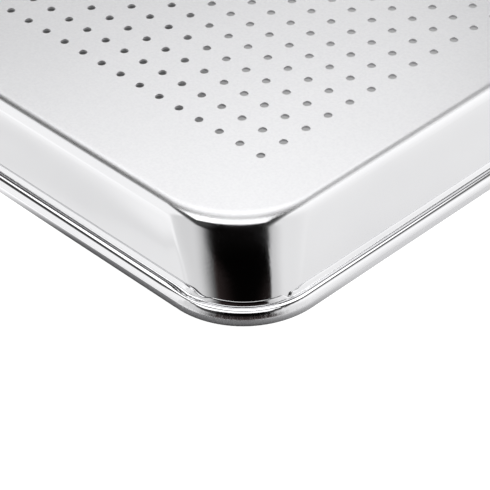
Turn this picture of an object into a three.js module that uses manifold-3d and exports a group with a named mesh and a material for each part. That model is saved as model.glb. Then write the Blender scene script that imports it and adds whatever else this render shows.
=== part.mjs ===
// Half-size perforated aluminium sheet pan with a wire-in-rim edge, standing
// upside down on its rim: +Z up, millimetres, origin on the table plane under
// the middle of the pan. X runs along the long side.
import * as THREE from 'three';
import { mergeGeometries, mergeVertices } from 'three/addons/utils/BufferGeometryUtils.js';
import Module from 'manifold-3d';

// ---- driving dimensions (mm) ------------------------------------------------
const HEIGHT = 28.6;            // rim to outer face of the floor
const SHEET = 1;                // sheet thickness
const HOLES_X = 30;             // perforations along the long side
const HOLES_Y = 17;             // perforations along the short side
const PITCH_X = 11.755;
const PITCH_Y = 12.7;
const HOLE_DIAMETER = 3.6;      // each cut as a square of the same area
const MARGIN_X = 30.75;         // last hole row to the start of the floor bend
const MARGIN_Y = 42.3;
const FLOOR_CORNER_R = 39;      // plan radius of the floor's corners
const BEND_R = 7;               // outer radius of the bend from floor to wall
const BEAD_R = 3.55;            // outer radius of the rolled bead
const BEAD_CORNER_R = 33.4;     // plan radius of the bead's centre line
const BEAD_OUT_X = 23.05;       // bead centre outside the bend start, end walls
const BEAD_OUT_Y = 20.37;       // the same on the long side walls
const HEM_GAP = 0.3;            // slit between the folded hem and the wall
const HEM_LENGTH = 2.4;         // hem folded back up the wall
const WIRE_R = 2.25;            // rim wire
const WIRE_BUTT_GAP = 1;        // gap between the wire's two ends

const HALF_X = (HOLES_X - 1) * PITCH_X / 2 + MARGIN_X;   // bend start
const HALF_Y = (HOLES_Y - 1) * PITCH_Y / 2 + MARGIN_Y;
const CHANNEL_R = BEAD_R - SHEET;                        // bore of the curl
const BEND_STEPS = 4;
const RAD = Math.PI / 180;

// ---- cross-section of the rim -----------------------------------------------
// The sheet as one loop of points, from the floor's outer face down the outside
// of the wall, round the wire channel, out along the hem, back round the bead
// and up the inside of the wall. Every point is [offset from the bend start,
// height, distance outside the bead centre or null on the upper wall].
function section(beadOut) {
  const drop = HEIGHT - BEND_R - BEAD_R;
  const slope = Math.atan2(drop, beadOut)
    + Math.asin((BEND_R + CHANNEL_R) / Math.hypot(beadOut, drop));
  const n = [Math.sin(slope), Math.cos(slope)];          // wall's outward normal
  const up = [-Math.cos(slope), Math.sin(slope)];        // up along the wall
  const loop = [];
  const rim = (x, z) => loop.push([x, z, x - beadOut]);
  const polar = (r, angle) => rim(beadOut + r * Math.cos(angle), BEAD_R + r * Math.sin(angle));
  for (let i = 0; i <= BEND_STEPS; i++) {                // outside of the bend
    const a = slope * i / BEND_STEPS;
    loop.push([BEND_R * Math.sin(a), HEIGHT - BEND_R + BEND_R * Math.cos(a), null]);
  }
  const upAngle = Math.PI - slope;
  const start = upAngle + Math.PI / 2;                   // wall touches the channel
  const end = 2 * Math.PI + upAngle + Math.asin((CHANNEL_R - HEM_GAP) / CHANNEL_R);
  for (let i = 0; i <= 8; i++) polar(CHANNEL_R, start + (end - start) * i / 8);
  const across = CHANNEL_R - HEM_GAP - SHEET;            // hem's outer face to bead centre
  const groove = upAngle + Math.asin(across / BEAD_R);
  const foot = [beadOut + BEAD_R * Math.cos(groove), BEAD_R + BEAD_R * Math.sin(groove)];
  rim(foot[0] + up[0] * HEM_LENGTH - n[0] * SHEET, foot[1] + up[1] * HEM_LENGTH - n[1] * SHEET);
  rim(foot[0] + up[0] * HEM_LENGTH, foot[1] + up[1] * HEM_LENGTH);
  rim(foot[0], foot[1]);
  for (const a of [86, 43, 0, -38]) polar(BEAD_R, a * RAD);
  for (const a of [-75, -105]) polar(BEAD_R / Math.sin(75 * RAD), a * RAD);  // flat rest face
  polar(BEAD_R, start - 2 * Math.PI);                    // back on the wall's inside
  for (let i = BEND_STEPS; i >= 0; i--) {                // inside of the bend
    const a = slope * i / BEND_STEPS;
    loop.push([(BEND_R - SHEET) * Math.sin(a), HEIGHT - BEND_R + (BEND_R - SHEET) * Math.cos(a), null]);
  }
  return loop;
}

// Stations round one corner, in degrees.
const CORNER = [0, 11.25, 22.5, 33.75, 45, 56.25, 67.5, 78.75, 90];

function shell() {
  const alongX = section(BEAD_OUT_X);
  const alongY = section(BEAD_OUT_Y);
  const count = alongX.length;
  const wallFoot = alongX[BEND_STEPS + 1];
  const footR = BEAD_CORNER_R + wallFoot[2];
  const positions = [];
  const stations = [];
  for (let quarter = 0; quarter < 4; quarter++) {
    for (const angle of CORNER) {
      const a = (quarter * 90 + angle) * RAD;
      const sx = quarter === 0 || quarter === 3 ? 1 : -1;
      const sy = quarter < 2 ? 1 : -1;
      stations.push(positions.length / 3);
      for (let k = 0; k < count; k++) {
        const [ox, zx, rimOffset] = alongX[k];
        const [oy, zy] = alongY[k];
        let r;
        if (rimOffset === null) {
          // upper wall: the plan radius grows with depth, and the inside of the
          // bend keeps the sheet's thickness from the outside
          const outer = alongX[k <= BEND_STEPS ? k : count - 1 - k];
          const t = (HEIGHT - outer[1]) / (HEIGHT - wallFoot[1]);
          r = FLOOR_CORNER_R + (footR - FLOOR_CORNER_R) * t - (outer[0] - ox);
        } else {
          r = BEAD_CORNER_R + (rimOffset + alongY[k][2]) / 2;
        }
        const share = (1 - Math.cos(2 * angle * RAD)) / 2;
        const endWall = quarter % 2 === 0 ? 1 - share : share;
        positions.push(
          sx * (HALF_X + ox - r) + r * Math.cos(a),
          sy * (HALF_Y + oy - r) + r * Math.sin(a),
          zx * endWall + zy * (1 - endWall));
      }
    }
  }
  const index = [];
  const quad = (p, q, r, s) => index.push(p, q, r, p, r, s);
  for (let i = 0; i < stations.length; i++) {
    const p = stations[i];
    const q = stations[(i + 1) % stations.length];
    for (let k = 0; k < count - 1; k++) quad(p + k, p + k + 1, q + k + 1, q + k);
  }
  // floor: a fan from the middle on each face
  const top = positions.length / 3;
  positions.push(0, 0, HEIGHT, 0, 0, HEIGHT - SHEET);
  for (let i = 0; i < stations.length; i++) {
    const p = stations[i];
    const q = stations[(i + 1) % stations.length];
    index.push(top, p, q, top + 1, q + count - 1, p + count - 1);
  }
  const geometry = new THREE.BufferGeometry();
  geometry.setAttribute('position', new THREE.Float32BufferAttribute(positions, 3));
  geometry.setIndex(index);
  return geometry;
}

// ---- perforations -----------------------------------------------------------
function punches() {
  const side = HOLE_DIAMETER * Math.sqrt(Math.PI) / 2;
  const boxes = [];
  for (let i = 0; i < HOLES_X; i++) {
    for (let j = 0; j < HOLES_Y; j++) {
      const box = new THREE.BoxGeometry(side, side, 4 * SHEET);
      box.translate((i - (HOLES_X - 1) / 2) * PITCH_X, (j - (HOLES_Y - 1) / 2) * PITCH_Y, HEIGHT - SHEET / 2);
      boxes.push(box);
    }
  }
  return mergeGeometries(boxes);
}

const wasm = await Module();
wasm.setup();

function solid(geometry) {
  const g = geometry.clone();
  g.deleteAttribute('normal');
  g.deleteAttribute('uv');
  const merged = mergeVertices(g, 1e-5);
  return new wasm.Manifold(new wasm.Mesh({
    numProp: 3,
    vertProperties: new Float32Array(merged.attributes.position.array),
    triVerts: new Uint32Array(merged.index.array),
  }));
}

function geometryOf(manifold) {
  const mesh = manifold.getMesh();
  const geometry = new THREE.BufferGeometry();
  geometry.setAttribute('position', new THREE.BufferAttribute(new Float32Array(mesh.vertProperties), 3));
  geometry.setIndex(new THREE.BufferAttribute(new Uint32Array(mesh.triVerts), 1));
  geometry.computeVertexNormals();
  return geometry;
}

// ---- rim wire ---------------------------------------------------------------
// An eight-sided bar bent round the rim, its two ends butting in the middle of
// the long side at +Y.
function wire() {
  const cx = HALF_X + BEAD_OUT_X - BEAD_CORNER_R;
  const cy = HALF_Y + BEAD_OUT_Y - BEAD_CORNER_R;
  const path = [[-WIRE_BUTT_GAP / 2, cy + BEAD_CORNER_R, 90]];
  for (const [quarter, sx, sy] of [[1, -1, 1], [2, -1, -1], [3, 1, -1], [0, 1, 1]]) {
    for (const angle of CORNER) {
      const a = (quarter * 90 + angle) * RAD;
      path.push([sx * cx + BEAD_CORNER_R * Math.cos(a), sy * cy + BEAD_CORNER_R * Math.sin(a), quarter * 90 + angle]);
    }
  }
  path.push([WIRE_BUTT_GAP / 2, cy + BEAD_CORNER_R, 90]);
  const sides = 8;
  const positions = [];
  for (const [x, y, facing] of path) {
    for (let k = 0; k < sides; k++) {
      const a = (k + 0.5) * 2 * Math.PI / sides;
      const out = WIRE_R * Math.cos(a);
      positions.push(x + out * Math.cos(facing * RAD), y + out * Math.sin(facing * RAD), BEAD_R + WIRE_R * Math.sin(a));
    }
  }
  const index = [];
  for (let i = 0; i < path.length - 1; i++) {
    for (let k = 0; k < sides; k++) {
      const p = i * sides + k, q = i * sides + (k + 1) % sides;
      index.push(p, p + sides, q + sides, p, q + sides, q);
    }
  }
  const last = (path.length - 1) * sides;
  for (let k = 1; k < sides - 1; k++) {
    index.push(0, k, k + 1, last, last + k + 1, last + k);
  }
  const geometry = new THREE.BufferGeometry();
  geometry.setAttribute('position', new THREE.Float32BufferAttribute(positions, 3));
  geometry.setIndex(index);
  geometry.computeVertexNormals();
  return geometry;
}

// ---- assembly ---------------------------------------------------------------
const group = new THREE.Group();

const pan = new THREE.Mesh(
  geometryOf(solid(shell()).subtract(solid(punches()))),
  new THREE.MeshStandardMaterial({ color: 0xd4d6d9, roughness: 0.32, metalness: 1 }));
pan.name = 'pan_shell';
group.add(pan);

const rimWire = new THREE.Mesh(
  wire(),
  new THREE.MeshStandardMaterial({ color: 0x9a9c9e, roughness: 0.45, metalness: 1 }));
rimWire.name = 'rim_wire';
group.add(rimWire);

export default group;
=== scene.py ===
import math

import bpy
import numpy as np
from mathutils import Matrix, Vector


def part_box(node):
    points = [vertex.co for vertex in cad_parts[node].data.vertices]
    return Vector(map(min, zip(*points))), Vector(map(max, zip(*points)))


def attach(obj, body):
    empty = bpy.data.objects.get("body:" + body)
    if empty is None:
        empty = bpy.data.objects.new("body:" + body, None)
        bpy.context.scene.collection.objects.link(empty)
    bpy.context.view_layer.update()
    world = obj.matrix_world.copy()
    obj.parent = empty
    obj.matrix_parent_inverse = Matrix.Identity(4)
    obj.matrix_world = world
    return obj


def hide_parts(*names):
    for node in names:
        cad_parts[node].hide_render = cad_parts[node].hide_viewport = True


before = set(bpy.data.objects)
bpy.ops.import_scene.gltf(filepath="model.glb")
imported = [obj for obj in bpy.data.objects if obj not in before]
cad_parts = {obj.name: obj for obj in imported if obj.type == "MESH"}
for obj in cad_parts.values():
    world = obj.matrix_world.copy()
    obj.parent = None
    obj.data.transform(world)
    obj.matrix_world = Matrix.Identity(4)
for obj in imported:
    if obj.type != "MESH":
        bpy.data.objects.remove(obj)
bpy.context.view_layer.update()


MM = 0.001

# ---------------------------------------------------------------- dimensions
# millimetres, as in the CAD part; the outer sizes come from the frame itself
lo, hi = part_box("pan_shell")
HEIGHT = hi.z / MM
BEND_R = 7.0
BEAD_R = 3.55
SHEET = 1.0
BEAD_OUT_X = 23.05
BEAD_OUT_Y = 20.37
BEAD_CORNER_R = 33.4
FLOOR_CORNER_R = 39.0
HEM_LENGTH = 2.4
HEM_GAP = 0.3
PITCH_X, PITCH_Y = 11.755, 12.7
HOLES_X, HOLES_Y = 30, 17
HOLE_R = 1.8
HALF_X = hi.x / MM - BEAD_R - BEAD_OUT_X      # where the floor starts to bend
HALF_Y = hi.y / MM - BEAD_R - BEAD_OUT_Y
CHANNEL_R = BEAD_R - SHEET

rng = np.random.default_rng(7)


def smooth(x):
    x = max(0.0, min(1.0, x))
    return x * x * (3 - 2 * x)


def noise1(seed, n=64):
    """A smooth repeating noise of one variable, period 1, about -1 to 1."""
    r = np.random.default_rng(seed)
    amp = r.normal(size=n) / np.sqrt(np.arange(1, n + 1))
    ph = r.uniform(0, 2 * math.pi, n)
    k = np.arange(1, n + 1)
    scale = 1 / np.sqrt((amp ** 2).sum() / 2)
    return lambda t: float((amp * np.sin(2 * math.pi * k * t + ph)).sum() * scale * 0.5)


# ---------------------------------------------------------------- pan section
N_BEND, N_WALL, N_CHAN, N_BEAD, N_INWALL, N_INBEND = 12, 12, 9, 30, 5, 6


def section(bead_out, hem, crease, hem_lift=0.0):
    """The sheet's section: rows of (offset, height, kind, fraction).
    kind 0 is the upper wall's outside, 1 the rim, 2 the wall's inside."""
    drop = HEIGHT - BEND_R - BEAD_R
    beta = math.atan2(drop, bead_out) + math.asin((BEND_R + CHANNEL_R) / math.hypot(bead_out, drop))
    n = (math.sin(beta), math.cos(beta))
    up = (-math.cos(beta), math.sin(beta))
    rows = []

    def add(x, z, kind, frac=0.0):
        rows.append((x, z, kind, frac))

    def polar(r, a, kind=1):
        add(bead_out + r * math.cos(a), BEAD_R + r * math.sin(a), kind)

    add(-0.9, HEIGHT, 0, 0.0)
    for i in range(N_BEND + 1):
        a = beta * i / N_BEND
        add(BEND_R * math.sin(a), HEIGHT - BEND_R + BEND_R * math.cos(a), 0, 0.0)
    w0 = (rows[-1][0], rows[-1][1])
    up_angle = math.pi - beta
    start = up_angle + math.pi / 2
    w1 = (bead_out + CHANNEL_R * math.cos(start), BEAD_R + CHANNEL_R * math.sin(start))
    for i in range(1, N_WALL):
        t = i / N_WALL
        add(w0[0] + (w1[0] - w0[0]) * t, w0[1] + (w1[1] - w0[1]) * t, 0, t)
    end = 2 * math.pi + up_angle + math.asin((CHANNEL_R - HEM_GAP) / CHANNEL_R)
    for i in range(N_CHAN + 1):
        polar(CHANNEL_R, start + (end - start) * i / N_CHAN)
    across = CHANNEL_R - HEM_GAP - SHEET
    groove = up_angle + math.asin(across / BEAD_R)
    foot = (bead_out + BEAD_R * math.cos(groove), BEAD_R + BEAD_R * math.sin(groove))
    # the wall's outer face lies (HEM_GAP + SHEET) under the foot along n

    def hem_at(length, depth):
        """a point `length` up from the foot and `depth` off the wall's face"""
        d = depth - HEM_GAP - SHEET
        return (foot[0] + up[0] * length + n[0] * d, foot[1] + up[1] * length + n[1] * d)

    edge_gap = 0.07 + hem_lift * 0.5
    edge_top = 0.92 + hem_lift
    add(*hem_at(hem * 0.5, 0.20 + hem_lift * 0.3), 1)
    add(*hem_at(hem - 0.06, edge_gap), 1)
    add(*hem_at(hem, edge_gap + 0.12), 1)
    add(*hem_at(hem + 0.02, (edge_gap + edge_top) / 2), 1)
    add(*hem_at(hem - 0.03, edge_top - 0.12), 1)
    add(*hem_at(hem - 0.16, edge_top), 1)
    top_f = HEM_GAP + SHEET
    for t in (0.7, 0.5, 0.35):
        add(*hem_at(hem * t, top_f + (edge_top - top_f) * t), 1)
    # the crease between hem and bead, then the bead itself
    p0 = hem_at(hem * 0.22, top_f + (edge_top - top_f) * 0.22)
    out = groove - math.radians(26)
    p2 = (bead_out + BEAD_R * math.cos(out), BEAD_R + BEAD_R * math.sin(out))
    mid = ((p0[0] + p2[0]) / 2, (p0[1] + p2[1]) / 2)
    p1 = (mid[0] + (foot[0] - mid[0]) * crease, mid[1] + (foot[1] - mid[1]) * crease)
    for i in range(6):
        t = i / 6
        add((1 - t) ** 2 * p0[0] + 2 * t * (1 - t) * p1[0] + t * t * p2[0],
            (1 - t) ** 2 * p0[1] + 2 * t * (1 - t) * p1[1] + t * t * p2[1], 1)
    bottom = -math.pi / 2
    last = start - 2 * math.pi
    n1 = int(N_BEAD * (out - bottom) / (out - last))
    for i in range(n1 + 1):
        polar(BEAD_R, out + (bottom - out) * i / n1)
    n2 = N_BEAD - n1
    for i in range(1, n2 + 1):
        polar(BEAD_R, bottom + (last - bottom) * i / n2)
    i0 = (rows[-1][0], rows[-1][1])
    i1 = ((BEND_R - SHEET) * math.sin(beta), HEIGHT - BEND_R + (BEND_R - SHEET) * math.cos(beta))
    for i in range(1, N_INWALL):
        t = i / N_INWALL
        add(i0[0] + (i1[0] - i0[0]) * t, i0[1] + (i1[1] - i0[1]) * t, 2, 1 - t)
    for i in range(N_INBEND, -1, -1):
        a = beta * i / N_INBEND
        add((BEND_R - SHEET) * math.sin(a), HEIGHT - BEND_R + (BEND_R - SHEET) * math.cos(a), 2, 0.0)
    add(-0.9, HEIGHT - SHEET, 2, 0.0)
    return rows, beta, w1


# ---------------------------------------------------------------- stations
# (Ux, Uy, cos, sin, x share, corner angle or None, quarter, distance along)
def stations():
    out = []
    n_corner, n_long, n_short = 76, 122, 84
    for quarter in range(4):
        sx = 1 if quarter in (0, 3) else -1
        sy = 1 if quarter < 2 else -1
        for i in range(n_corner + 1):
            ang = 90.0 * i / n_corner
            a = math.radians(quarter * 90 + ang)
            share = math.cos(a) ** 2
            out.append((sx, sy, math.cos(a), math.sin(a), share, ang, quarter, 0.0))
        a = math.radians(quarter * 90 + 90)
        n = n_long if quarter % 2 == 0 else n_short
        for i in range(1, n):
            u = 1 - 2 * i / n
            if quarter == 0:      # +Y side, from +X to -X
                out.append((u, 1, 0.0, 1.0, 0.0, None, quarter, i / n))
            elif quarter == 1:    # -X side, from +Y to -Y
                out.append((-1, u, -1.0, 0.0, 1.0, None, quarter, i / n))
            elif quarter == 2:    # -Y side, from -X to +X
                out.append((-u, -1, 0.0, -1.0, 0.0, None, quarter, i / n))
            else:                 # +X side, from -Y to +Y
                out.append((1, -u, 1.0, 0.0, 1.0, None, quarter, i / n))
    return out


STATIONS = stations()


def lump(x, centre, half):
    """A smooth hump of height 1 at the centre, 0 beyond half either side."""
    d = abs(x - centre) / half
    return (1 - d * d) ** 2 if d < 1 else 0.0


def ramp(x, a, b):
    return smooth((x - a) / (b - a))


# how the hem was worked at each corner: start and end of its tucked stretch,
# the knot and the notch, in degrees round the corner, and the strength
CORNER_WORK = {
    3: dict(start=-11.0, pocket=5.0, pocket_half=17.0, knot=1.7, soft0=10.0, soft1=24.0, notch=79.5, end=92.5, k=1.0),
    0: dict(start=-8.0, pocket=9.0, pocket_half=13.0, knot=4.0, soft0=12.0, soft1=30.0, notch=83.0, end=95.0, k=0.8),
    1: dict(start=-6.0, pocket=3.0, pocket_half=12.0, knot=-1.0, soft0=8.0, soft1=22.0, notch=75.0, end=90.0, k=0.7),
    2: dict(start=-9.0, pocket=7.0, pocket_half=15.0, knot=3.0, soft0=11.0, soft1=26.0, notch=81.0, end=94.0, k=0.9),
}


def corner_angle(quarter, ang, along):
    """(corner, angle round it in degrees), carried on into the straights"""
    length = (2 * (HALF_X - FLOOR_CORNER_R) if quarter % 2 == 0 else 2 * (HALF_Y - FLOOR_CORNER_R))
    deg = math.degrees(1 / BEAD_CORNER_R)
    if ang is not None:
        return quarter, ang
    if along < 0.5:
        return quarter, 90 + along * length * deg
    return (quarter + 1) % 4, -(1 - along) * length * deg


def pan_points():
    """positions[station][k] in mm"""
    jag = noise1(3, 220)
    jag2 = noise1(11, 60)
    wave1 = noise1(21, 11)
    wave2 = noise1(22, 17)
    wave3 = noise1(27, 40)
    rip = np.random.default_rng(5).normal(size=(len(STATIONS), 3))
    rip = rip - 0.45 * (np.roll(rip, 1, 0) + np.roll(rip, -1, 0))
    all_pts = []
    total = len(STATIONS)
    for si, (ux, uy, ca, sa, share, ang, quarter, along) in enumerate(STATIONS):
        t = si / total
        corner, phi = corner_angle(quarter, ang, along)
        w = CORNER_WORK[corner]
        at_corner = ramp(phi, w["start"], w["soft1"]) * (1 - ramp(phi, w["notch"] - 3, w["end"]))
        inside = ramp(phi, -4, 6) * (1 - ramp(phi, 84, 94))
        jagged = (0.10 * jag(t) + 0.06 * jag2(t)) * (1 - 0.6 * inside)
        pocket = lump(phi, w["pocket"], w["pocket_half"]) * w["k"]
        knot = lump(phi, w["knot"], 5.0) * w["k"]
        notch = lump(phi, w["notch"], 4.2) * w["k"]
        hem = HEM_LENGTH + jagged - 0.25 * at_corner + 0.35 * knot - 1.35 * notch
        hem -= 0.55 * w["k"] * lump(phi, w["end"] - 4.5, 6.0)
        hem -= 0.75 * w["k"] * lump(phi, w["pocket"] + 8.0, 9.0)
        hem = max(0.55, hem)
        crease = 1.0 - 0.55 * at_corner - 0.25 * notch
        lift = 0.35 * knot + 0.12 * pocket
        rx, bx, wx = section(BEAD_OUT_X, hem, crease, lift)
        ry, by, wy = section(BEAD_OUT_Y, hem, crease, lift)
        foot_r = BEAD_CORNER_R + ((wx[0] - BEAD_OUT_X) + (wy[0] - BEAD_OUT_Y)) / 2
        f1 = 0.20 * wave1(t) + 0.04 * wave3(t)
        f2 = 0.10 * wave2(t)
        fine = inside * 0.012
        pts = []
        for k, ((ox, zx, kind, frac), (oy, zy, _, _)) in enumerate(zip(rx, ry)):
            if kind == 1:
                r = BEAD_CORNER_R + ((ox - BEAD_OUT_X) + (oy - BEAD_OUT_Y)) / 2
            elif kind == 0:
                d = (HEIGHT - zx) / (HEIGHT - wx[1])
                r = FLOOR_CORNER_R + (foot_r - FLOOR_CORNER_R) * d + min(0.0, ox)
            else:
                # the outer face's point across the sheet from this one
                if frac > 0:
                    w0 = (BEND_R * math.sin(bx), HEIGHT - BEND_R + BEND_R * math.cos(bx))
                    oo = w0[0] + (wx[0] - w0[0]) * frac
                    zo = w0[1] + (wx[1] - w0[1]) * frac
                else:
                    kk = BEND_R / (BEND_R - SHEET)
                    oo = ox * kk if ox > 0 else ox
                    zo = HEIGHT - BEND_R + (zx - HEIGHT + BEND_R) * kk
                d = (HEIGHT - zo) / (HEIGHT - wx[1])
                r = FLOOR_CORNER_R + (foot_r - FLOOR_CORNER_R) * d - (oo - ox) + min(0.0, ox)
            out, up = 0.0, 0.0
            if kind != 1 and frac > 0:
                # the wall bulges a little, with gentle hollows left by pressing
                hollow = (0.16 + 0.10 * inside) * math.sin(math.pi * frac)
                hollow += f1 * math.sin(math.pi * frac) ** 2 + f2 * math.sin(2 * math.pi * frac) * math.sin(math.pi * frac)
                beta = bx * share + by * (1 - share)
                out, up = hollow * math.sin(beta), hollow * math.cos(beta)
            elif kind == 1:
                # worked metal: fine ripples round the corner, a pucker beside it
                du = (ox - BEAD_OUT_X) / BEAD_R
                dz = (zx - BEAD_R) / BEAD_R
                size = math.hypot(du, dz)
                if size > 0.93:
                    amount = -fine * (1 + 0.5 * rip[si, 0]) + fine * 0.7 * rip[si, 1]
                    top = math.atan2(dz, du)
                    amount -= 0.55 * pocket * lump(top, math.radians(118), math.radians(34))
                    amount += 0.30 * pocket * lump(top, math.radians(78), math.radians(24))
                    amount = min(0.0, amount) if abs(top) < 0.6 or dz < -0.7 else amount
                    out, up = amount * du / size, amount * dz / size
            x = ux * (HALF_X + ox - r) + r * ca + out * ca
            y = uy * (HALF_Y + oy - r) + r * sa + out * sa
            pts.append((x, y, zx * share + zy * (1 - share) + up))
        all_pts.append(pts)
    return np.array(all_pts)


def grid_rect(n_sides_x, n_sides_y):
    """the x and y lines through the corners of the hole cells"""
    gx = [(i - HOLES_X / 2) * PITCH_X for i in range(HOLES_X + 1)]
    gy = [(j - HOLES_Y / 2) * PITCH_Y for j in range(HOLES_Y + 1)]
    return gx, gy


def build_pan():
    P = pan_points()
    S, K = P.shape[0], P.shape[1]
    verts = [tuple(p) for row in P for p in row]
    faces = []
    for i in range(S):
        j = (i + 1) % S
        for k in range(K - 1):
            faces.append((i * K + k, i * K + k + 1, j * K + k + 1, j * K + k))
    gx, gy = grid_rect(HOLES_X, HOLES_Y)
    SEG = 16
    # per hole: chamfer ring at the outer face, wall, and edge at the inner face
    rim_o, rim_i = [], []
    cells = {}
    burr = 0.09

    def layer(z):
        idx = {}
        for i, x in enumerate(gx):
            for j, y in enumerate(gy):
                idx[i, j] = len(verts)
                verts.append((x, y, z))
        return idx

    top = layer(HEIGHT)
    bot = layer(HEIGHT - SHEET)

    def cell_faces(ring, c, flip):
        """20 triangles between a ring of SEG points and its cell's corners"""
        order = [c[1, 1], c[0, 1], c[0, 0], c[1, 0]]     # quadrants from +x+y, anticlockwise
        out = []
        q = SEG // 4
        for s in range(SEG):
            corner = order[(s // q) % 4]
            out.append((ring[s], ring[(s + 1) % SEG], corner)[::-1])
        for d in range(4):
            s = (d * q) % SEG
            out.append((ring[s], order[d], order[(d - 1) % 4]))
        return [f[::-1] for f in out] if flip else out

    for i in range(HOLES_X):
        for j in range(HOLES_Y):
            cx = (i - (HOLES_X - 1) / 2) * PITCH_X
            cy = (j - (HOLES_Y - 1) / 2) * PITCH_Y
            rings = []
            for r, z in ((HOLE_R + burr, HEIGHT), (HOLE_R, HEIGHT - burr), (HOLE_R, HEIGHT - SHEET)):
                base = len(verts)
                for s in range(SEG):
                    a = 2 * math.pi * s / SEG
                    verts.append((cx + r * math.cos(a), cy + r * math.sin(a), z))
                rings.append([base + s for s in range(SEG)])
            for a, b in ((rings[0], rings[1]), (rings[1], rings[2])):
                for s in range(SEG):
                    t = (s + 1) % SEG
                    faces.append((a[s], a[t], b[t], b[s])[::-1])
            ct = {(u, v): top[i + u, j + v] for u in (0, 1) for v in (0, 1)}
            cb = {(u, v): bot[i + u, j + v] for u in (0, 1) for v in (0, 1)}
            faces += cell_faces(rings[0], ct, False)
            faces += cell_faces(rings[2], cb, True)

    def margin(idx, ring_k, flip):
        """the plain margin between the hole field and the bend"""
        inner = [idx[i, 0] for i in range(HOLES_X)]
        inner += [idx[HOLES_X, j] for j in range(HOLES_Y)]
        inner += [idx[i, HOLES_Y] for i in range(HOLES_X, 0, -1)]
        inner += [idx[0, j] for j in range(HOLES_Y, 0, -1)]
        outer = [i * K + ring_k for i in range(S)]

        def ang(v):
            return math.atan2(verts[v][1] / HALF_Y, verts[v][0] / HALF_X) % (2 * math.pi)

        inner = sorted(inner, key=ang)
        outer = sorted(outer, key=ang)
        ni, no = len(inner), len(outer)
        ai = [ang(v) for v in inner] + [ang(inner[0]) + 2 * math.pi]
        ao = [ang(v) for v in outer] + [ang(outer[0]) + 2 * math.pi]
        i = o = 0
        out = []
        while i < ni or o < no:
            if o < no and (i >= ni or ao[o + 1] <= ai[i + 1]):
                out.append((inner[i % ni], outer[o % no], outer[(o + 1) % no]))
                o += 1
            else:
                out.append((inner[i % ni], outer[o % no], inner[(i + 1) % ni]))
                i += 1
        return [f[::-1] for f in out] if flip else out

    faces += margin(top, 0, False)
    faces += margin(bot, K - 1, True)
    me = bpy.data.meshes.new("pan_sheet")
    me.from_pydata([(x * MM, y * MM, z * MM) for x, y, z in verts], [], faces)
    me.validate()
    me.update()
    me.polygons.foreach_set("use_smooth", [True] * len(me.polygons))
    me.set_sharp_from_angle(angle=math.radians(32))
    return me


def link(me, name):
    ob = bpy.data.objects.new(name, me)
    bpy.context.scene.collection.objects.link(ob)
    return ob


# ---------------------------------------------------------------- materials
def new_mat(name):
    m = bpy.data.materials.new(name)
    m.use_nodes = True
    nt = m.node_tree
    nt.nodes.clear()
    out = nt.nodes.new("ShaderNodeOutputMaterial")
    bsdf = nt.nodes.new("ShaderNodeBsdfPrincipled")
    nt.links.new(bsdf.outputs[0], out.inputs[0])
    return m, nt, bsdf


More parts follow.
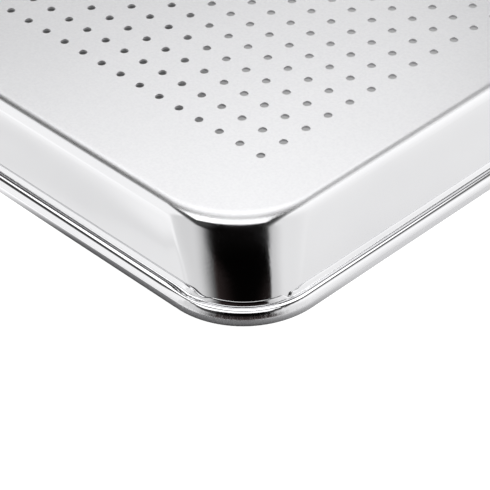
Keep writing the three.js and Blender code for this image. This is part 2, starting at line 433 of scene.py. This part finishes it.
def pan_material():
    m, nt, b = new_mat("pan_aluminium_finish")
    N, L = nt.nodes, nt.links
    b.inputs["Metallic"].default_value = 1.0
    tc = N.new("ShaderNodeTexCoord")
    sep = N.new("ShaderNodeSeparateXYZ")
    L.new(tc.outputs["Object"], sep.inputs[0])
    # 1 on the flat floor, 0 on bend, wall and rim
    flat = N.new("ShaderNodeMapRange")
    flat.inputs["From Min"].default_value = (HEIGHT - 1.6) * MM
    flat.inputs["From Max"].default_value = (HEIGHT - 0.05) * MM
    flat.interpolation_type = "SMOOTHSTEP"
    L.new(sep.outputs["Z"], flat.inputs["Value"])

    grain = N.new("ShaderNodeTexNoise")
    grain.inputs["Scale"].default_value = 900
    grain.inputs["Detail"].default_value = 3
    L.new(tc.outputs["Object"], grain.inputs["Vector"])
    cloud = N.new("ShaderNodeTexNoise")
    cloud.inputs["Scale"].default_value = 14
    cloud.inputs["Detail"].default_value = 4
    L.new(tc.outputs["Object"], cloud.inputs["Vector"])

    rough_flat = N.new("ShaderNodeMapRange")
    rough_flat.inputs["To Min"].default_value = 0.30
    rough_flat.inputs["To Max"].default_value = 0.40
    L.new(cloud.outputs["Fac"], rough_flat.inputs["Value"])
    rough_wall = N.new("ShaderNodeMapRange")
    rough_wall.inputs["To Min"].default_value = 0.055
    rough_wall.inputs["To Max"].default_value = 0.095
    L.new(cloud.outputs["Fac"], rough_wall.inputs["Value"])
    def math2(op, x, y):
        n = N.new("ShaderNodeMath")
        n.operation = op
        n.inputs[2].default_value = -0.32
        for sock, v in zip(n.inputs, (x, y)):
            if isinstance(v, (int, float)):
                sock.default_value = v
            else:
                L.new(v, sock)
        return n.outputs[0]

    def step(v, e0, e1, y0=0.0, y1=1.0):
        n = N.new("ShaderNodeMapRange")
        n.interpolation_type = "SMOOTHSTEP"
        n.inputs["From Min"].default_value = e0
        n.inputs["From Max"].default_value = e1
        n.inputs["To Min"].default_value = y0
        n.inputs["To Max"].default_value = y1
        L.new(v, n.inputs["Value"])
        return n.outputs["Result"]

    def mix(f, x, y):
        n = N.new("ShaderNodeMix")
        n.data_type = "FLOAT"
        for sock, v in zip((n.inputs["Factor"], n.inputs["A"], n.inputs["B"]), (f, x, y)):
            if isinstance(v, (int, float)):
                sock.default_value = v
            else:
                L.new(v, sock)
        return n.outputs["Result"]

    # angle round the nearest corner, for marks that run across the rim
    dx = math2("SUBTRACT", math2("ABSOLUTE", sep.outputs["X"], 0.0), (HALF_X + BEAD_OUT_X - BEAD_CORNER_R) * MM)
    dy = math2("SUBTRACT", math2("ABSOLUTE", sep.outputs["Y"], 0.0), (HALF_Y + BEAD_OUT_Y - BEAD_CORNER_R) * MM)
    turn = math2("ARCTAN2", dy, dx)
    at_corner = math2("MULTIPLY", step(dx, -0.008, 0.004), step(dy, -0.008, 0.004))
    streak = N.new("ShaderNodeTexNoise")
    streak.noise_dimensions = "2D"
    streak.inputs["Scale"].default_value = 1.0
    streak.inputs["Detail"].default_value = 3
    sxy = N.new("ShaderNodeCombineXYZ")
    L.new(math2("MULTIPLY", turn, 70.0), sxy.inputs[0])
    L.new(math2("MULTIPLY", sep.outputs["Z"], 120.0), sxy.inputs[1])
    L.new(sxy.outputs[0], streak.inputs["Vector"])
    rim = step(sep.outputs["Z"], 0.0054, 0.0066, 1.0, 0.0)
    worked = math2("MULTIPLY", rim, at_corner)
    rough_rim = step(streak.outputs["Fac"], 0.3, 0.7, 0.13, 0.30)
    # the drawn corners are a little coarser under the bend
    drawn = math2("MULTIPLY", at_corner, step(sep.outputs["Z"], (HEIGHT - 12) * MM, (HEIGHT - 3) * MM))
    rough_side = mix(drawn, rough_wall.outputs["Result"], 0.14)
    bead = step(sep.outputs["Z"], 0.0056, 0.0064, 1.0, 0.0)
    rough_side = mix(bead, rough_side, 0.13)
    rough_side = mix(worked, rough_side, rough_rim)
    # the punched hole walls: torn and dull, not polished
    punched = math2("MULTIPLY", step(sep.outputs["Z"], (HEIGHT - 0.99) * MM, (HEIGHT - 0.93) * MM),
                    step(sep.outputs["Z"], (HEIGHT - 0.20) * MM, (HEIGHT - 0.10) * MM, 1.0, 0.0))
    punched = math2("MULTIPLY", punched, math2("MULTIPLY", step(dx, -0.004, 0.0, 1.0, 0.0), step(dy, -0.004, 0.0, 1.0, 0.0)))
    L.new(mix(punched, 1.0, 0.25), b.inputs["Metallic"])
    L.new(mix(punched, mix(flat.outputs["Result"], rough_side, rough_flat.outputs["Result"]), 0.62), b.inputs["Roughness"])

    col = N.new("ShaderNodeValToRGB")
    col.color_ramp.elements[0].position = 0.3
    col.color_ramp.elements[0].color = (0.860, 0.860, 0.875, 1)
    col.color_ramp.elements[1].position = 0.7
    col.color_ramp.elements[1].color = (0.900, 0.900, 0.912, 1)
    L.new(mix(flat.outputs["Result"], cloud.outputs["Fac"],
              math2("ADD", math2("MULTIPLY", cloud.outputs["Fac"], 0.35), math2("MULTIPLY_ADD", grain.outputs["Fac"], 1.3))),
          col.inputs["Fac"])
    torn = N.new("ShaderNodeMix")
    torn.data_type = "RGBA"
    L.new(punched, torn.inputs[0])
    L.new(col.outputs["Color"], torn.inputs[6])
    torn.inputs[7].default_value = (0.74, 0.74, 0.75, 1)
    L.new(torn.outputs[2], b.inputs["Base Color"])

    bump = N.new("ShaderNodeBump")
    bump.inputs["Distance"].default_value = 0.00003
    st = N.new("ShaderNodeMath")
    st.operation = "MULTIPLY_ADD"
    L.new(flat.outputs["Result"], st.inputs[0])
    st.inputs[1].default_value = 0.5
    # a coarser skin where the sheet was drawn round the corners
    skin = math2("MULTIPLY", at_corner, step(sep.outputs["Z"], 0.008, 0.016))
    L.new(mix(skin, 0.04, 0.5), st.inputs[2])
    L.new(st.outputs[0], bump.inputs["Strength"])
    L.new(mix(worked, grain.outputs["Fac"], math2("MULTIPLY", streak.outputs["Fac"], 12.0)), bump.inputs["Height"])
    L.new(bump.outputs["Normal"], b.inputs["Normal"])
    return m


def wire_material():
    m, nt, b = new_mat("rim_wire_finish")
    N, L = nt.nodes, nt.links
    b.inputs["Metallic"].default_value = 1.0
    tc = N.new("ShaderNodeTexCoord")
    n1 = N.new("ShaderNodeTexNoise")
    n1.inputs["Scale"].default_value = 220
    n1.inputs["Detail"].default_value = 5
    L.new(tc.outputs["Object"], n1.inputs["Vector"])
    col = N.new("ShaderNodeValToRGB")
    col.color_ramp.elements[0].color = (0.30, 0.31, 0.32, 1)
    col.color_ramp.elements[1].color = (0.56, 0.57, 0.58, 1)
    L.new(n1.outputs["Fac"], col.inputs["Fac"])
    L.new(col.outputs["Color"], b.inputs["Base Color"])
    mr = N.new("ShaderNodeMapRange")
    mr.inputs["To Min"].default_value = 0.35
    mr.inputs["To Max"].default_value = 0.6
    L.new(n1.outputs["Fac"], mr.inputs["Value"])
    L.new(mr.outputs["Result"], b.inputs["Roughness"])
    return m


def floor_material():
    m, nt, b = new_mat("stage_floor_paint")
    N, L = nt.nodes, nt.links
    b.inputs["Base Color"].default_value = (0.36, 0.36, 0.365, 1)
    b.inputs["Roughness"].default_value = 0.9
    b.inputs["Specular IOR Level"].default_value = 0.1
    b.inputs["Emission Color"].default_value = (1, 1, 1, 1)
    # the sweep glows round the pan and not under it
    tc = N.new("ShaderNodeTexCoord")
    sep = N.new("ShaderNodeSeparateXYZ")
    L.new(tc.outputs["Object"], sep.inputs[0])
    far = []
    for axis, half in (("X", hi.x), ("Y", hi.y)):
        ab = N.new("ShaderNodeMath")
        ab.operation = "ABSOLUTE"
        L.new(sep.outputs[axis], ab.inputs[0])
        sub = N.new("ShaderNodeMath")
        sub.operation = "SUBTRACT"
        L.new(ab.outputs[0], sub.inputs[0])
        sub.inputs[1].default_value = half - 0.020
        far.append(sub)
    mx = N.new("ShaderNodeMath")
    mx.operation = "MAXIMUM"
    L.new(far[0].outputs[0], mx.inputs[0])
    L.new(far[1].outputs[0], mx.inputs[1])
    st = N.new("ShaderNodeMapRange")
    st.inputs["From Min"].default_value = -0.002
    st.inputs["From Max"].default_value = 0.002
    L.new(mx.outputs[0], st.inputs["Value"])
    lp = N.new("ShaderNodeLightPath")
    cam_mul = N.new("ShaderNodeMath")
    cam_mul.operation = "MULTIPLY_ADD"
    L.new(lp.outputs["Is Camera Ray"], cam_mul.inputs[0])
    across = N.new("ShaderNodeVectorMath")
    across.operation = "DOT_PRODUCT"
    L.new(tc.outputs["Object"], across.inputs[0])
    across.inputs[1].default_value = VR
    glow = N.new("ShaderNodeMath")
    glow.operation = "ADD"
    for i, (x0, x1, y0, y1) in enumerate(((-0.085, -0.028, 0.94, 0.0), (0.04, 0.10, 0.0, 0.52))):
        g = N.new("ShaderNodeMapRange")
        g.interpolation_type = "SMOOTHSTEP"
        g.inputs["From Min"].default_value = x0
        g.inputs["From Max"].default_value = x1
        g.inputs["To Min"].default_value = y0
        g.inputs["To Max"].default_value = y1
        L.new(across.outputs["Value"], g.inputs["Value"])
        L.new(g.outputs["Result"], glow.inputs[i])
    cam_mul.inputs[1].default_value = 0.98
    L.new(glow.outputs[0], cam_mul.inputs[2])
    # painted light: the table beneath the pan glows faintly, dim on the left and brighter on the right, standing in for
    # the light that reaches the hollow through the holes
    side = N.new("ShaderNodeVectorMath")
    side.operation = "DOT_PRODUCT"
    L.new(tc.outputs["Object"], side.inputs[0])
    side.inputs[1].default_value = VR
    painted_glow_beneath_pan = N.new("ShaderNodeMapRange")
    painted_glow_beneath_pan.interpolation_type = "SMOOTHSTEP"
    painted_glow_beneath_pan.inputs["From Min"].default_value = 0.006
    painted_glow_beneath_pan.inputs["From Max"].default_value = 0.042
    painted_glow_beneath_pan.inputs["To Min"].default_value = 0.03
    painted_glow_beneath_pan.inputs["To Max"].default_value = 0.30
    L.new(side.outputs["Value"], painted_glow_beneath_pan.inputs["Value"])
    # emission: the painted glow beneath the pan, and the sweep round it
    out = N.new("ShaderNodeMix")
    out.data_type = "FLOAT"
    L.new(st.outputs["Result"], out.inputs["Factor"])
    L.new(painted_glow_beneath_pan.outputs["Result"], out.inputs["A"])
    L.new(cam_mul.outputs[0], out.inputs["B"])
    L.new(out.outputs["Result"], b.inputs["Emission Strength"])
    return m


# ---------------------------------------------------------------- camera
# the hole nearest the photographed corner, and the view worked out from the
# hole grid: everything is in units of the short-side pitch
P00 = Vector(((HOLES_X - 1) / 2 * PITCH_X, -(HOLES_Y - 1) / 2 * PITCH_Y, HEIGHT)) * MM
eye = P00 + Vector((40.71606, -39.48007, 41.38255)) * PITCH_Y * MM
right = Vector((0.70050, 0.71336, -0.02047)).normalized()
fwd = Vector((-0.56824, 0.54018, -0.62073)).normalized()
upv = right.cross(fwd).normalized()
right = fwd.cross(upv).normalized()
cam_data = bpy.data.cameras.new("camera")
cam = bpy.data.objects.new("camera", cam_data)
bpy.context.scene.collection.objects.link(cam)
cam.matrix_world = Matrix((
    (right.x, upv.x, -fwd.x, eye.x),
    (right.y, upv.y, -fwd.y, eye.y),
    (right.z, upv.z, -fwd.z, eye.z),
    (0, 0, 0, 1)))
cam_data.sensor_width = 36.0
cam_data.lens = 2268.25 / 490 * 36.0
cam_data.clip_start = 0.01
cam_data.clip_end = 50
bpy.context.scene.camera = cam

VR = Vector((right.x, right.y, 0)).normalized()          # to the picture's right
VC = Vector((-fwd.x, -fwd.y, 0)).normalized()            # towards the camera

# ---------------------------------------------------------------- the pan
pan = link(build_pan(), "pan_sheet")
pan.data.materials.append(pan_material())
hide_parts("pan_shell")
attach(pan, "root")

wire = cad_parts["rim_wire"]
wire.data.materials.clear()
wire.data.materials.append(wire_material())

# ---------------------------------------------------------------- stage
def plane(name, size, z, mat):
    me = bpy.data.meshes.new(name)
    h = size / 2
    me.from_pydata([(-h, -h, z), (h, -h, z), (h, h, z), (-h, h, z)], [], [(0, 1, 2, 3)])
    me.materials.append(mat)
    return link(me, name)


floor = plane("stage_floor", 12.0, 0.0, floor_material())

def at(r, c, z):
    return VR * r + VC * c + Vector((0, 0, z))


def softbox(name, centre, u, v, size_u, size_v, radiance, color=(1, 1, 1)):
    """A rectangular light; u and v are its edges' directions, shining along u x v."""
    data = bpy.data.lights.new(name, "AREA")
    data.shape = "RECTANGLE"
    data.size = size_u
    data.size_y = size_v
    data.color = color
    data.energy = radiance * math.pi * size_u * size_v
    ob = bpy.data.objects.new(name, data)
    bpy.context.scene.collection.objects.link(ob)
    u = u.normalized()
    v = v.normalized()
    w = u.cross(v)                      # the light shines along -Z of its object
    ob.matrix_world = Matrix((
        (u.x, v.x, w.x, centre.x), (u.y, v.y, w.y, centre.y), (u.z, v.z, w.z, centre.z), (0, 0, 0, 1)))
    ob.visible_camera = False
    return ob


Z = Vector((0, 0, 1))
# overhead, reaching away from the camera
softbox("light_top", at(-0.035, -0.775, 0.95), VR, -VC, 0.73, 0.91, 1.26)
# a narrow strip over the near corner
softbox("light_over", at(-0.10, 0.145, 0.95), VR, -VC, 0.74, 0.39, 1.30)

# the rest of the studio: white walls left and right, a dark opening behind
# the camera, and dim gaps between the walls and the overhead light
world = bpy.data.worlds.new("studio")
bpy.context.scene.world = world
world.use_nodes = True
wn = world.node_tree
wn.nodes.clear()
WN, WL = wn.nodes, wn.links


def wmath(op, a, b=None, c=None):
    n = WN.new("ShaderNodeMath")
    n.operation = op
    for sock, v in zip(n.inputs, (a, b, c)):
        if v is None:
            continue
        if isinstance(v, (int, float)):
            sock.default_value = v
        else:
            WL.new(v, sock)
    return n.outputs[0]


def wstep(v, e0, e1, y0=0.0, y1=1.0):
    """y0 below e0, y1 above e1, smooth between"""
    n = WN.new("ShaderNodeMapRange")
    n.interpolation_type = "SMOOTHSTEP"
    n.inputs["From Min"].default_value = e0
    n.inputs["From Max"].default_value = e1
    n.inputs["To Min"].default_value = y0
    n.inputs["To Max"].default_value = y1
    WL.new(v, n.inputs["Value"])
    return n.outputs["Result"]


def wdot(vec):
    n = WN.new("ShaderNodeVectorMath")
    n.operation = "DOT_PRODUCT"
    WL.new(wtc.outputs["Generated"], n.inputs[0])
    n.inputs[1].default_value = vec
    return n.outputs["Value"]


wtc = WN.new("ShaderNodeTexCoord")
w_r, w_c, w_z = wdot(VR), wdot(VC), wdot(Vector((0, 0, 1)))
psi = wmath("MULTIPLY", wmath("ARCTAN2", w_r, w_c), 180 / math.pi)     # 0 towards the camera
ele = wmath("MULTIPLY", wmath("ARCSINE", w_z), 180 / math.pi)
# left: a wall of light up to about 44 degrees, paler at its foot
left = wmath("ADD", wmath("ADD", wstep(ele, 3.5, 9.0, 0.77, 1.12), wstep(ele, 9.5, 14.0, 0.0, -0.12)), wstep(ele, 3.75, 4.05, 0.11, 0.0))
left = wmath("MULTIPLY", left, wmath("SUBTRACT", 1.0, wmath("MULTIPLY", wstep(psi, -86, -77), wmath("ADD", wstep(ele, 3.5, 9.0, 0.0, 0.23), wstep(ele, 11.5, 25.0, 0.0, 0.06)))))
back = wstep(ele, 14, 25, 0.80, 0.12)        # a pale sweep low behind the pan
left_b = wstep(psi, -152, -112)
left = wmath("ADD", wmath("MULTIPLY", left, left_b), wmath("MULTIPLY", back, wmath("SUBTRACT", 1.0, left_b)))
left_lit = wmath("MAXIMUM", wstep(w_r, -0.66, -0.57, 1.0, 0.0),
                 wmath("MULTIPLY", wstep(ele, 39, 46, 1.0, 0.0), wstep(psi, -100, -88)))
left_lit = wmath("MAXIMUM", left_lit, wmath("MULTIPLY", wstep(ele, 24, 34, 1.0, 0.0), wstep(psi, -160, -140, 1.0, 0.0)))
left = wmath("MULTIPLY", left, wmath("MULTIPLY_ADD", left_lit, 0.92, 0.08))
# above the sweep the gap is only half dark straight behind the pan
gap_l = wmath("MULTIPLY", wstep(psi, -162, -142, 0.50, 0.0), wstep(ele, 38, 46))
left = wmath("MAXIMUM", left, gap_l)
right_w = wstep(ele, 11.0, 21.0, 0.86, 1.12)
right_w = wmath("MULTIPLY", right_w, wmath("SUBTRACT", 1.0, wmath("MULTIPLY", wstep(psi, 62, 112, 1.0, 0.0), wstep(ele, 10, 21, 0.0, 0.25))))
right_w = wmath("MULTIPLY", right_w, wstep(psi, 38, 54, 0.72, 1.0))
right_b = wstep(psi, 112, 152, 1.0, 0.0)
back_r = wstep(ele, 14, 25, 0.80, 0.50)
right_w = wmath("ADD", wmath("MULTIPLY", right_w, right_b), wmath("MULTIPLY", back_r, wmath("SUBTRACT", 1.0, right_b)))
right_lit = wmath("MAXIMUM", wstep(w_r, 0.33, 0.44), wstep(ele, 28, 40, 1.0, 0.0))
right_w = wmath("MULTIPLY", right_w, wmath("MULTIPLY_ADD", right_lit, 0.86, 0.14))
gap_r = wmath("MULTIPLY", wstep(psi, 153, 167, 0.0, 0.66), wstep(ele, 38, 46))
right_w = wmath("MAXIMUM", right_w, gap_r)
is_right = wstep(psi, 0, 0.01)
side = wmath("ADD", wmath("MULTIPLY", left, wmath("SUBTRACT", 1.0, is_right)),
             wmath("MULTIPLY", right_w, is_right))
# the dark opening: soft on the left, crisp on the right, dimmest high up
dark = wmath("MULTIPLY", wstep(psi, -60, -34), wstep(psi, 34.5, 37.0, 1.0, 0.0))
low = wmath("ADD", wstep(ele, 38, 46, 0.018, 0.0003), wstep(ele, 4, 22, 0.026, 0.0))
total = wmath("ADD", wmath("MULTIPLY", side, wmath("SUBTRACT", 1.0, dark)), wmath("MULTIPLY", low, dark))
# high on the camera's side everything is dark too
high = wmath("MULTIPLY", wstep(ele, 50, 60), wstep(w_c, -0.45, -0.30))
high = wmath("MULTIPLY", high, wstep(wmath("ABSOLUTE", w_r), 0.20, 0.42, 1.0, 0.0))
total = wmath("ADD", wmath("MULTIPLY", total, wmath("SUBTRACT", 1.0, high)), wmath("MULTIPLY", high, 0.001))
wout = WN.new("ShaderNodeOutputWorld")
wbg = WN.new("ShaderNodeBackground")
wbg2 = WN.new("ShaderNodeBackground")
wmix = WN.new("ShaderNodeMixShader")
wlp = WN.new("ShaderNodeLightPath")
wtint = WN.new("ShaderNodeMix")
wtint.data_type = "RGBA"
wtint.inputs[6].default_value = (1, 1, 1, 1)
wtint.inputs[7].default_value = (1.25, 0.92, 0.90, 1)
WL.new(wstep(dark, 0.90, 1.0), wtint.inputs[0])
WL.new(wtint.outputs[2], wbg.inputs["Color"])
WL.new(total, wbg.inputs["Strength"])
wbg2.inputs["Color"].default_value = (1, 1, 1, 1)
WL.new(wlp.outputs["Is Camera Ray"], wmix.inputs[0])
WL.new(wbg.outputs[0], wmix.inputs[1])
WL.new(wbg2.outputs[0], wmix.inputs[2])
WL.new(wmix.outputs[0], wout.inputs[0])

bpy.context.scene.view_settings.view_transform = "Standard"
bpy.context.scene.view_settings.look = "None"
